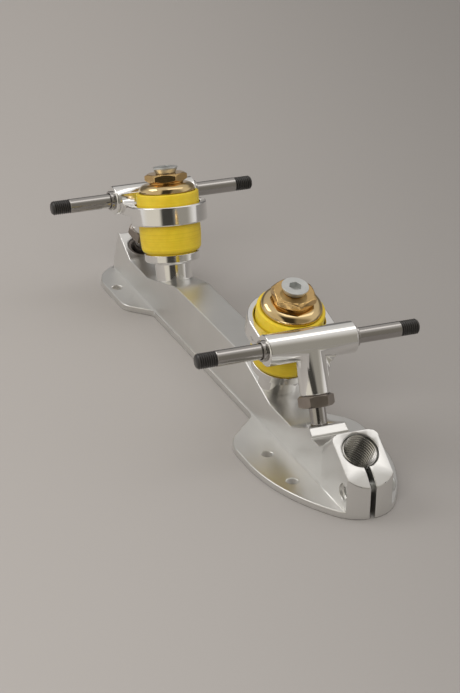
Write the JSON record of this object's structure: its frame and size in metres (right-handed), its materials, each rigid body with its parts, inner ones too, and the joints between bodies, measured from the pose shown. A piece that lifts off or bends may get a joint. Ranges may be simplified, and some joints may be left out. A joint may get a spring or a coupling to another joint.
{
  "type": "roller skate plate",
  "caption": "Cast aluminium quad skate plate with two sprung tilting trucks, cushion stacks on leaning kingpins, adjusting nuts, bare axles and a split toe stop clamp.",
  "frame": {"origin": "middle of the plate's box on the sole face", "axes": "+X along the axles, -Y to the toe, +Z away from the sole, up through the trucks"},
  "size_m": [0.105, 0.278, 0.0726],
  "materials": {
    "plate": "tumbled satin casting",
    "hanger": "polished",
    "axle": "ground, warm nickel tone",
    "zinc": "zinc plated",
    "lock_nut": "dark plated steel",
    "cushion": "moulded urethane",
    "cup_washer": "polished yellow plating",
    "adjusting_nut": "bronze-gold plating",
    "pivot_cup": "moulded"
  },
  "bodies": {
    "plate": {"plate": "plate", "toe_stop_clamp_screw": "zinc", "front_pivot_cup": "pivot_cup", "front_kingpin": "zinc", "front_kingpin_seat": "hanger", "front_lower_cushion": "cushion", "front_upper_cushion": "cushion", "rear_pivot_cup": "pivot_cup", "rear_kingpin": "zinc", "rear_kingpin_seat": "hanger", "rear_lower_cushion": "cushion", "rear_upper_cushion": "cushion"},
    "front_truck": {"front_hanger": "hanger", "front_axle": "axle", "front_axle_washers": "axle", "front_pivot_stud": "axle", "front_pivot_lock_nut": "lock_nut"},
    "rear_truck": {"rear_hanger": "hanger", "rear_axle": "axle", "rear_axle_washers": "axle", "rear_pivot_stud": "axle", "rear_pivot_lock_nut": "lock_nut"},
    "front_washer": {"front_cup_washer": "cup_washer"},
    "rear_washer": {"rear_cup_washer": "cup_washer"},
    "front_nut": {"front_adjusting_nut": "adjusting_nut"},
    "rear_nut": {"rear_adjusting_nut": "adjusting_nut"}
  },
  "joints": [
    {"name": "front_truck_tilt", "type": "hinge", "parent": "plate", "child": "front_truck", "pos_m": [0, -0.08751, 0.01358], "axis": [0, 0.7169, 0.6972], "range_deg": [-10, 10], "stiffness_Nm_per_rad": 15, "deforming": ["front_lower_cushion", "front_upper_cushion"]},
    {"name": "rear_truck_tilt", "type": "hinge", "parent": "plate", "child": "rear_truck", "pos_m": [0, 0.12551, 0.01358], "axis": [0, -0.7169, 0.6972], "range_deg": [-10, 10], "stiffness_Nm_per_rad": 15, "deforming": ["rear_lower_cushion", "rear_upper_cushion"]},
    {"name": "front_washer_press", "type": "slide", "parent": "plate", "child": "front_washer", "axis": [0, -0.2588, 0.9659], "range_m": [-0.000937, 0], "stiffness_N_per_m": 5000, "deforming": ["front_upper_cushion"]},
    {"name": "rear_washer_press", "type": "slide", "parent": "plate", "child": "rear_washer", "axis": [0, 0.2588, 0.9659], "range_m": [-0.000937, 0], "stiffness_N_per_m": 5000, "deforming": ["rear_upper_cushion"]},
    {"name": "front_nut_turn", "type": "hinge", "parent": "front_washer", "child": "front_nut", "pos_m": [0, -0.05031, 0.04976], "axis": [0, -0.2588, 0.9659], "range_deg": [-270, 0]},
    {"name": "rear_nut_turn", "type": "hinge", "parent": "rear_washer", "child": "rear_nut", "pos_m": [0, 0.08831, 0.04976], "axis": [0, 0.2588, 0.9659], "range_deg": [-270, 0]}
  ],
  "couplings": [
    {"joint": "front_nut_turn", "follows": "front_washer_press", "rad_per_m": 5026.5},
    {"joint": "rear_nut_turn", "follows": "rear_washer_press", "rad_per_m": 5026.5}
  ]
}
